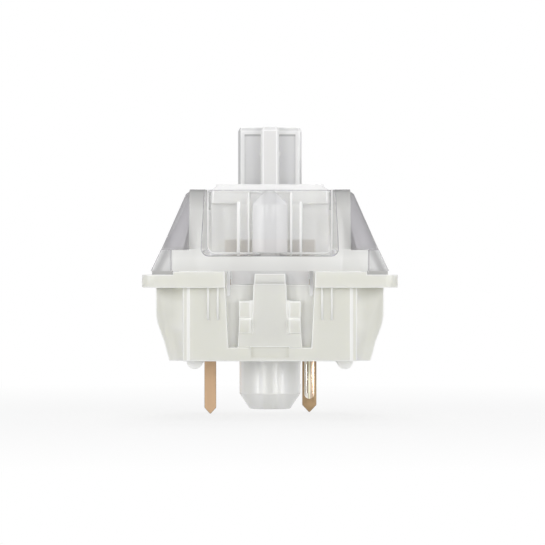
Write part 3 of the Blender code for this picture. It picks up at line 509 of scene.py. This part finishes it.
CROSS_FOOT_Z = 11.5
CROSS_END_X = 1.85
STEM_PLATE = (ALL, ALL, (11.0, CROSS_FOOT_Z))
THIN_ARMS = ((0.0, 0.66), (0.7, OUT), (CROSS_FOOT_Z, OUT))
CROSS_PANELS = ((0.6, 1.59), (0.5, 0.61), (12.0, 14.0))
WIDE_ARMS = (ALL, (0.63, 0.67), (CROSS_FOOT_Z, OUT))
GUIDE_BARS = (ALL, (2.67, 2.73), (0.0, 11.0))


def stem_finish(face):
    """The stem's material on a face: the edge of the plate under the cross gets a painted highlight."""
    along, up = abs(face.normal.y), face.normal.z
    if inside(face.center, STEM_PLATE) and up < FACING:
        return WHITE_EDGE_HIGHLIGHT
    if inside(face.center, THIN_ARMS):
        return WHITE_ARM
    if inside(face.center, CROSS_PANELS) and up < SLANTED:
        return WHITE_PANEL
    if inside(face.center, WIDE_ARMS) and along > FACING:
        return WHITE_RIM_HIGHLIGHT
    if inside(face.center, GUIDE_BARS) and along > FACING:
        return WHITE_BAR
    return WHITE


slider = cleaned_copy("stem", "key_stem")
for material in STEM_FINISHES:
    slider.data.materials.append(material)
for face in slider.data.polygons:
    face.material_index = STEM_FINISHES.index(stem_finish(face))
round_edges(slider, ROUNDING * MM)
# The faces at the left end of the cross's wide arm take the painted shade.
for face in slider.data.polygons:
    x, z = face.center.x / MM, face.center.z / MM
    if z > CROSS_FOOT_Z and x < -CROSS_END_X and face.normal.x < -TURNED:
        face.material_index = STEM_FINISHES.index(WHITE_PAINTED_SHADE)
smooth(slider)
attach(slider, "stem")
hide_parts("stem")


# Cover
# The upper housing is moulded in clear plastic. Its thick blocks at the front and back scatter more light
# than its thin side walls do. Four barbed legs clip it onto the base.

FADE = 0.06  # length of the soft end of a tinted band
CLEAR_GLOSS = (0.8, 1.2)  # how far the faint clouds in clear plastic change its roughness


def fading_at(along):
    """Shades that are white up to a place along their line, and black past it."""
    white, black = (1.0, 1.0, 1.0), (0.0, 0.0, 0.0)
    return ((0.0, white), (along, white), (along + FADE, black), (OUT, black))


def clear_plastic(name, shades, clarity, roughness, across=ALONG_Z, mirrored=True, band=None):
    """Clear plastic: a glossy skin over a body that lets most light straight through and scatters the rest.
    Where band gives a half width, a top and a colour, the plastic's foot is painted in that colour, which
    stands in for the parts seen through it."""
    material = bpy.data.materials.new(name)
    material.use_nodes = True
    nodes, links = material.node_tree.nodes, material.node_tree.links
    shader = nodes["Principled BSDF"]
    shader.inputs["Transmission Weight"].default_value = clarity
    shader.inputs["IOR"].default_value = 1.02
    shader.inputs["Coat Weight"].default_value = 0.6
    shader.inputs["Coat Roughness"].default_value = 0.04
    shader.inputs["Coat IOR"].default_value = 1.45
    place = nodes.new("ShaderNodeTexCoord")
    clouds = nodes.new("ShaderNodeTexNoise")
    clouds.inputs["Scale"].default_value = 300.0
    clouds.inputs["Detail"].default_value = 2.0
    links.new(place.outputs["Object"], clouds.inputs["Vector"])
    light = nodes.new("ShaderNodeMapRange")
    light.inputs["To Min"].default_value = CLOUD_LIGHT[0]
    light.inputs["To Max"].default_value = CLOUD_LIGHT[1]
    links.new(clouds.outputs["Fac"], light.inputs["Value"])
    tint = nodes.new("ShaderNodeVectorMath")
    tint.operation = "SCALE"
    links.new(shade(nodes, links, shades, across, mirrored), tint.inputs["Vector"])
    links.new(light.outputs["Result"], tint.inputs["Scale"])
    colour = tint.outputs["Vector"]
    if band:
        half, top, darker = band
        level = shade(nodes, links, fading_at(top), ALONG_Z, True)
        width = shade(nodes, links, fading_at(half), ALONG_X, True)
        where = nodes.new("ShaderNodeMath")
        where.operation = "MULTIPLY"
        links.new(level, where.inputs[0])
        links.new(width, where.inputs[1])
        tinted = nodes.new("ShaderNodeVectorMath")
        tinted.operation = "MULTIPLY"
        tinted.inputs[1].default_value = darker
        links.new(colour, tinted.inputs[0])
        mix = nodes.new("ShaderNodeMix")
        mix.data_type = "RGBA"
        links.new(where.outputs["Value"], mix.inputs["Factor"])
        links.new(colour, mix.inputs["A"])
        links.new(tinted.outputs["Vector"], mix.inputs["B"])
        colour = mix.outputs["Result"]
    links.new(colour, shader.inputs["Base Color"])
    gloss = nodes.new("ShaderNodeMapRange")
    gloss.inputs["To Min"].default_value = roughness * CLEAR_GLOSS[0]
    gloss.inputs["To Max"].default_value = roughness * CLEAR_GLOSS[1]
    links.new(clouds.outputs["Fac"], gloss.inputs["Value"])
    links.new(gloss.outputs["Result"], shader.inputs["Roughness"])
    passing = nodes.new("ShaderNodeBsdfTransparent")
    passing.inputs["Color"].default_value = (0.9, 0.9, 0.9, 1.0)
    path = nodes.new("ShaderNodeLightPath")
    either = nodes.new("ShaderNodeMixShader")
    links.new(path.outputs["Is Shadow Ray"], either.inputs["Fac"])
    links.new(shader.outputs["BSDF"], either.inputs[1])
    links.new(passing.outputs["BSDF"], either.inputs[2])
    links.new(either.outputs["Shader"], nodes["Material Output"].inputs["Surface"])
    return material


# Painted light and shade on the thick blocks, standing in for light bent through them: lightest near the
# skirt, darker upwards to a dark line at the crown.
BLOCK_PAINTED_SHADES = (
    (6.0, grey(0.78, 0.03)), (6.4, grey(0.84, 0.03)), (6.8, grey(0.88, 0.03)), (7.5, grey(0.78, 0.03)),
    (9.75, grey(0.72, 0.03)), (10.25, grey(0.62, 0.03)), (10.85, grey(0.50, 0.02)),
    (10.95, grey(0.38, 0.02)),
)
# Painted shade on the wings, standing in for light bent through them: darkest at the slanting outer edge,
# lighter inwards.
WING_PAINTED_SHADES = (
    (0.0, grey(0.36, -0.02)), (0.12, grey(0.45, -0.02)), (0.25, grey(0.51, -0.02)),
    (0.37, grey(0.57, -0.02)), (0.65, grey(0.62, -0.02)), (0.86, grey(0.62, -0.02)),
    (0.98, grey(0.60, -0.02)), (1.2, grey(0.64, -0.02)),
)
# Painted highlight and shade on the skirt's corners: near white along the slanting outer edge, darker just
# inside it, and lighter again further in.
SKIRT_PAINTED_SHADES = (
    (0.0, grey(1.0)), (0.1, grey(0.94)), (0.22, grey(0.68)), (0.35, grey(0.53)),
    (0.5, grey(0.61)), (0.75, grey(0.86)), (0.9, grey(0.86)), (1.1, grey(0.78)), (1.5, grey(0.80)),
)
WING_LEAN = 0.4286  # how far the wings' outer edge leans in, per mm of height
SKIRT_LEAN = 0.4812
WING_EDGE = 9.82  # where that edge, made longer, meets the circuit board
SKIRT_EDGE = 10.207


def from_edge(shades, edge):
    """Shades given inwards from a slanting outer edge, turned into places along the line, low end first."""
    return tuple((edge - along, colour) for along, colour in reversed(shades))


EVEN_SHADES = ((6.0, grey(0.87)), (11.1, grey(0.87)))
EDGE_PAINTED_SHADE = ((6.0, grey(0.5, -0.02)), (11.1, grey(0.5, -0.02)))
SIDE_SHADES = ((6.0, grey(0.66, -0.02)), (11.1, grey(0.58, -0.02)))
LEG_SHADES = ((4.0, grey(0.87)), (6.1, grey(0.87)))
WING_PAINTED_PLACES = from_edge(WING_PAINTED_SHADES, WING_EDGE)
SKIRT_PAINTED_PLACES = from_edge(SKIRT_PAINTED_SHADES, SKIRT_EDGE)
# Painted band: a darker, brownish colour over the foot of the window, standing in for the contacts seen
# through it.
WINDOW_PAINTED_BAND = (2.78, 7.94, (0.65, 0.61, 0.575))
CLEAR = clear_plastic("clear plastic", EVEN_SHADES, 0.97, 0.05)
# Painted shade: the rounded outer edges of the cover are coloured dark.
CLEAR_EDGE_SHADE = clear_plastic("clear plastic edge with painted shade", EDGE_PAINTED_SHADE, 0.55, 0.1)
THICK = clear_plastic("thick clear plastic", BLOCK_PAINTED_SHADES, 0.15, 0.25)
WING = clear_plastic("clear plastic wing", WING_PAINTED_PLACES, 0.7, 0.3, (1.0, WING_LEAN))
# Painted highlight: the rounded corners round the back of the window's pocket, and its ribs, are near
# white.
BRIGHT_EDGE_HIGHLIGHT = plastic("plastic with painted corner highlight", (0.98, 0.98, 0.97), 0.2)
SKIRT = clear_plastic("clear plastic skirt", SKIRT_PAINTED_PLACES, 0.6, 0.3, (1.0, SKIRT_LEAN))
SIDE = clear_plastic("clear plastic side", SIDE_SHADES, 0.75, 0.15)
WINDOW = clear_plastic("clear plastic window", EVEN_SHADES, 0.97, 0.05, band=WINDOW_PAINTED_BAND)
LEG = clear_plastic("clear plastic leg", LEG_SHADES, 0.25, 0.25)
COVER_FINISHES = (CLEAR, CLEAR_EDGE_SHADE, THICK, WING, BRIGHT_EDGE_HIGHLIGHT, SKIRT, SIDE, WINDOW, LEG)

RIM_Z = 6.0  # only the legs, fins and tabs are lower
SKIRT_TOP_Z = 7.3
WING_EDGES = ((5.1, OUT), ALL, (7.4, 10.7))
CROWN_CORNERS = (ALL, (3.5, OUT), (10.7, OUT))
BLOCK_X = 5.0  # the thick blocks are between the wings, and this far out along Y
BLOCK_Y = 3.5
WINDOW_WALL_Y = -3.4  # back wall of the window's pocket
WALL_NEAR = 0.02  # what is this close to that wall is in it
WINDOW_FOOT_Z = 7.0
WINDOW_ROUNDING = 0.07
TAB_FEET = ((0.0, 2.45), (5.8, 6.3), (5.2, 5.24))
TAB_FOOT_Z = 5.175  # the cover's closing tabs reach down to the walls of the base's slots
TINY_EDGE = 0.3
NARROW_FACE = 0.2
WAYS_OUT = [Vector(way).normalized() for way in (
    (0, -1, 0), (0, 1, 0), (1, 0, 0), (-1, 0, 0), (0, 0, 1),
    (0.5, -1, 0.5), (-0.5, -1, 0.5), (0.5, 1, 0.5), (-0.5, 1, 0.5),
)]
GRAZING = 0.05  # a way out that leaves a face flatter than this doesn't count
RAY_START = 0.01  # rays start this far off a face

cover = cleaned_copy("upper_housing", "clear_cover")
for material in COVER_FINISHES:
    cover.data.materials.append(material)
shell = BVHTree.FromObject(cover, bpy.context.evaluated_depsgraph_get())


def faces_out(centre, normal):
    """True where a face is seen from outside, and false inside the room for the stem."""
    start = centre + normal * RAY_START * MM
    return any(way.dot(normal) > GRAZING and shell.ray_cast(start, way)[0] is None for way in WAYS_OUT)


def leg_edge(edge):
    """The edges of the legs, fins and tabs."""
    return (edge.verts[0].co.z + edge.verts[1].co.z) / 2 < RIM_Z * MM


def outer_edge(edge):
    """Outside edges, apart from the slanting ones of the wings and the tiny ones at the crown's corners."""
    middle = (edge.verts[0].co + edge.verts[1].co) / 2
    if inside(middle, WING_EDGES) or leg_edge(edge):
        return False
    narrow = min(face_width(face) for face in edge.link_faces) < NARROW_FACE * MM
    if inside(middle, CROWN_CORNERS) and (edge.calc_length() < TINY_EDGE * MM or narrow):
        return False
    return all(faces_out(face.calc_center_median(), face.normal) for face in edge.link_faces)


def in_window_wall(place):
    """True for a place in the back wall of the window's pocket."""
    return abs(place.y - WINDOW_WALL_Y * MM) < WALL_NEAR * MM


def window_corner(edge):
    """The inward edges round the back of the window's pocket."""
    return all(in_window_wall(vertex.co) and vertex.co.z > WINDOW_FOOT_Z * MM for vertex in edge.verts)


def cover_finish(face):
    """The cover's material on a face that is seen from outside."""
    x, y, z = face.center / MM
    across, along = abs(face.normal.x), abs(face.normal.y)
    if in_window_wall(face.center) and face.normal.y < -FACING:
        return WINDOW
    if z < RIM_Z:
        return LEG
    if z < SKIRT_TOP_Z:
        if across > TURNED and along > TURNED:
            return SKIRT
        return THICK if along >= TURNED else SIDE
    if abs(x) < BLOCK_X:
        return THICK if abs(y) > BLOCK_Y else CLEAR
    return WING if along > TURNED else SIDE


for vertex in cover.data.vertices:
    if inside(vertex.co, TAB_FEET):
        vertex.co.z = TAB_FOOT_Z * MM
for face in cover.data.polygons:
    if faces_out(face.center, face.normal):
        face.material_index = COVER_FINISHES.index(cover_finish(face))
bright, leg = COVER_FINISHES.index(BRIGHT_EDGE_HIGHLIGHT), COVER_FINISHES.index(LEG)
# The inward corners round the window's pocket take the painted highlight.
round_edges(cover, WINDOW_ROUNDING * MM, window_corner, finish=bright, inward=True)
# The rounded outer edges take the painted edge shade.
round_edges(cover, ROUNDING * MM, outer_edge)
round_edges(cover, ROUNDING * MM, leg_edge, finish=leg)
smooth(cover)
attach(cover, "housing")
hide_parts("upper_housing")


# Window ribs
# The mould leaves four upright ribs on the back wall of the window's pocket. They are part of the clear
# cover, and are coloured near white as a painted highlight, so they show as bright lines through it.

RIBS = ((-1.96, 0.19, 10.34), (-1.32, 0.11, 10.9), (1.31, 0.14, 10.9), (1.91, 0.15, 10.34))  # X, width, top
RIB_FOOT_Z = 7.14
RIB_DEPTH = 0.12
RIB_ROOT = 0.02  # how far a rib runs into the wall
RIB_ROUNDING = 0.03


def small_block(name, x, y, z, material):
    """A plain block between the given ranges in mm, to be shaped further."""
    bpy.ops.object.select_all(action="DESELECT")
    middle = [sum(pair) / 2 * MM for pair in (x, y, z)]
    bpy.ops.mesh.primitive_cube_add(size=1.0, location=middle)
    block = bpy.context.object
    block.name = name
    block.data.name = name
    block.scale = [abs(pair[1] - pair[0]) * MM for pair in (x, y, z)]
    bpy.ops.object.transform_apply(location=True, rotation=False, scale=True)
    block.data.materials.append(material)
    return block


for number, (middle_x, width, top) in enumerate(RIBS):
    across = (middle_x - width / 2, middle_x + width / 2)
    deep = (WINDOW_WALL_Y - RIB_DEPTH, WINDOW_WALL_Y + RIB_ROOT)
    rib = small_block(f"window_rib_{number}", across, deep, (RIB_FOOT_Z, top), BRIGHT_EDGE_HIGHLIGHT)
    round_edges(rib, RIB_ROUNDING * MM, finish=0)
    smooth(rib)
    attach(rib, "housing")


# Cover feet
# The skirt ends in a thin lip at each corner, which reaches down to the base's flange. It is moulded with
# the clear cover, and is coloured dark grey as painted shade under the skirt.

CORNER_FOOT = ((5.95, 7.23), (4.05, 7.12), (5.79, 6.03))  # ranges of |X|, |Y| and Z
CORNER_CUT = 1.23  # length of the slanting cut across a foot's outer corner
CORNER_NEAR = 0.01  # vertices this close to that corner are at it

# Painted shade: the lips are dark grey, standing in for the shade under the skirt.
FOOT_PAINTED_SHADE = plastic("cover foot painted as shade", (0.54, 0.535, 0.53), 0.4)
for number, (sign_x, sign_y) in enumerate(((1, 1), (-1, 1), (-1, -1), (1, -1))):
    x, y, z = CORNER_FOOT
    across, deep = [sign_x * end for end in x], [sign_y * end for end in y]
    foot = small_block(f"cover_foot_{number}", across, deep, z, FOOT_PAINTED_SHADE)
    corner = ((x[1] - CORNER_NEAR, OUT), (y[1] - CORNER_NEAR, OUT), ALL)
    bpy.ops.object.mode_set(mode="EDIT")
    bpy.ops.mesh.select_all(action="DESELECT")
    bpy.ops.object.mode_set(mode="OBJECT")
    for edge in foot.data.edges:
        edge.select = all(inside(foot.data.vertices[end].co, corner) for end in edge.vertices)
    bpy.ops.object.mode_set(mode="EDIT")
    bpy.ops.mesh.select_mode(type="EDGE")
    bpy.ops.mesh.bevel(offset=CORNER_CUT * MM, segments=1)
    bpy.ops.object.mode_set(mode="OBJECT")
    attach(foot, "housing")


# Light guide
# A milky column in the cover's window, moulded by itself. It stands on the floor of the window's pocket,
# over the place for a light on the circuit board.

# Painted highlights across the column: near white at both sides and darker in the middle, standing in for
# light bent at its round sides.
GUIDE_PAINTED_SHADES = (
    (-1.1, grey(0.97)), (-0.8, grey(0.97)), (-0.6, grey(0.95)), (-0.4, grey(0.82)), (-0.3, grey(0.74)),
    (0.35, grey(0.74)), (0.45, grey(0.82)), (0.75, grey(0.92)), (1.1, grey(0.97)),
)
# Painted band: a faintly darker foot of the column, standing in for the contacts seen through it.
GUIDE_PAINTED_BAND = (1.2, 7.94, (1.0, 0.985, 0.975))
GUIDE = clear_plastic("light guide plastic", GUIDE_PAINTED_SHADES, 0.15, 0.25, ALONG_X, False, GUIDE_PAINTED_BAND)

column = cleaned_copy("light_guide", "light_column")
column.data.materials.append(GUIDE)
# The column's rounded edges take the painted highlight.
column.data.materials.append(WHITE_EDGE_HIGHLIGHT)
round_edges(column, ROUNDING * MM)
smooth(column)
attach(column, "housing")
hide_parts("light_guide")


# Studio
# A white floor just under the pins and a white room. There are two softboxes at the sides, two in front,
# one behind and one above. The camera looks straight at the window side.

def white_to_sight(nodes, links):
    """1 for the rays that see the white of the room: camera, glossy and transmission rays."""
    path = nodes.new("ShaderNodeLightPath")
    first = nodes.new("ShaderNodeMath")
    first.operation = "MAXIMUM"
    links.new(path.outputs["Is Camera Ray"], first.inputs[0])
    links.new(path.outputs["Is Glossy Ray"], first.inputs[1])
    second = nodes.new("ShaderNodeMath")
    second.operation = "MAXIMUM"
    links.new(first.outputs["Value"], second.inputs[0])
    links.new(path.outputs["Is Transmission Ray"], second.inputs[1])
    return second.outputs["Value"]


FLOOR_DROP = 0.02 * MM
FLOOR_SIZE = 6.0
SHADOW_ENDS = (15, 60)  # the floor's shadow is seen in full up to the first, and fades to the second
SHADOW_WHITE = 0.8  # how white the floor is to the camera where the shadow is seen
pin_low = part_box("fixed_contact")[0].z
bpy.ops.object.select_all(action="DESELECT")
bpy.ops.mesh.primitive_plane_add(size=FLOOR_SIZE, location=(0.0, 0.0, pin_low - FLOOR_DROP))
floor = bpy.context.object
floor.name = "studio_floor"
floor_material = bpy.data.materials.new("studio floor")
floor_material.use_nodes = True
nodes, links = floor_material.node_tree.nodes, floor_material.node_tree.links
nodes["Principled BSDF"].inputs["Base Color"].default_value = (0.9, 0.9, 0.9, 1.0)
nodes["Principled BSDF"].inputs["Roughness"].default_value = 1.0
nodes["Principled BSDF"].inputs["Specular IOR Level"].default_value = 0.0
glow = nodes.new("ShaderNodeEmission")
place = nodes.new("ShaderNodeTexCoord")
reach = nodes.new("ShaderNodeVectorMath")
reach.operation = "LENGTH"
links.new(place.outputs["Object"], reach.inputs[0])
fading = nodes.new("ShaderNodeMapRange")
fading.inputs["From Min"].default_value = SHADOW_ENDS[0] * MM
fading.inputs["From Max"].default_value = SHADOW_ENDS[1] * MM
fading.inputs["To Min"].default_value = SHADOW_WHITE
fading.inputs["To Max"].default_value = 1.0
links.new(reach.outputs["Value"], fading.inputs["Value"])
share = nodes.new("ShaderNodeMath")
share.operation = "MULTIPLY"
links.new(fading.outputs["Result"], share.inputs[1])
links.new(white_to_sight(nodes, links), share.inputs[0])
mixed = nodes.new("ShaderNodeMixShader")
links.new(share.outputs["Value"], mixed.inputs["Fac"])
links.new(nodes["Principled BSDF"].outputs["BSDF"], mixed.inputs[1])
links.new(glow.outputs["Emission"], mixed.inputs[2])
links.new(mixed.outputs["Shader"], nodes["Material Output"].inputs["Surface"])
floor.data.materials.append(floor_material)

world = bpy.data.worlds.new("white room")
world.use_nodes = True
bpy.context.scene.world = world
nodes, links = world.node_tree.nodes, world.node_tree.links
room = nodes["Background"]
room.inputs["Color"].default_value = (0.40, 0.40, 0.41, 1.0)
seen = nodes.new("ShaderNodeBackground")
seen.inputs["Color"].default_value = (1.0, 1.0, 1.0, 1.0)
mixed = nodes.new("ShaderNodeMixShader")
links.new(white_to_sight(nodes, links), mixed.inputs["Fac"])
links.new(room.outputs["Background"], mixed.inputs[1])
links.new(seen.outputs["Background"], mixed.inputs[2])
links.new(mixed.outputs["Shader"], nodes["World Output"].inputs["Surface"])

LAMP_AIM = Vector((0.0, 0.0, 5 * MM))


def softbox(name, place, width, height, watts):
    """A soft lamp that faces the middle of the switch."""
    lamp = bpy.data.lights.new(name, "AREA")
    lamp.energy = watts
    lamp.shape = "RECTANGLE"
    lamp.size = width
    lamp.size_y = height
    box = bpy.data.objects.new(name, lamp)
    bpy.context.scene.collection.objects.link(box)
    box.location = place
    aim = LAMP_AIM - box.location
    box.rotation_euler = aim.to_track_quat("-Z", "Y").to_euler()


softbox("left softbox", (-0.33, -0.30, 0.04), 0.03, 0.30, 0.55)
softbox("right softbox", (0.33, -0.30, 0.04), 0.03, 0.30, 0.55)
softbox("left front softbox", (-0.20, -0.50, 0.02), 0.10, 0.20, 0.5)
softbox("right front softbox", (0.20, -0.50, 0.02), 0.10, 0.20, 0.5)
softbox("back softbox", (0.0, 0.35, 0.42), 0.25, 0.25, 0.6)
softbox("top softbox", (0.0, -0.05, 0.45), 0.35, 0.35, 0.3)

CAMERA_PLACE = (0.16, -207.8, 5.93)  # level with the middle of the switch
FOCAL_LENGTH = 217.5

lens = bpy.data.cameras.new("camera")
lens.lens = FOCAL_LENGTH
lens.sensor_width = 36.0
lens.clip_start = 0.01
lens.clip_end = 20.0
camera = bpy.data.objects.new("camera", lens)
camera.location = Vector(CAMERA_PLACE) * MM
camera.rotation_euler = (math.radians(90), 0.0, 0.0)
bpy.context.scene.collection.objects.link(camera)
bpy.context.scene.camera = camera
bpy.context.scene.view_settings.view_transform = "Standard"
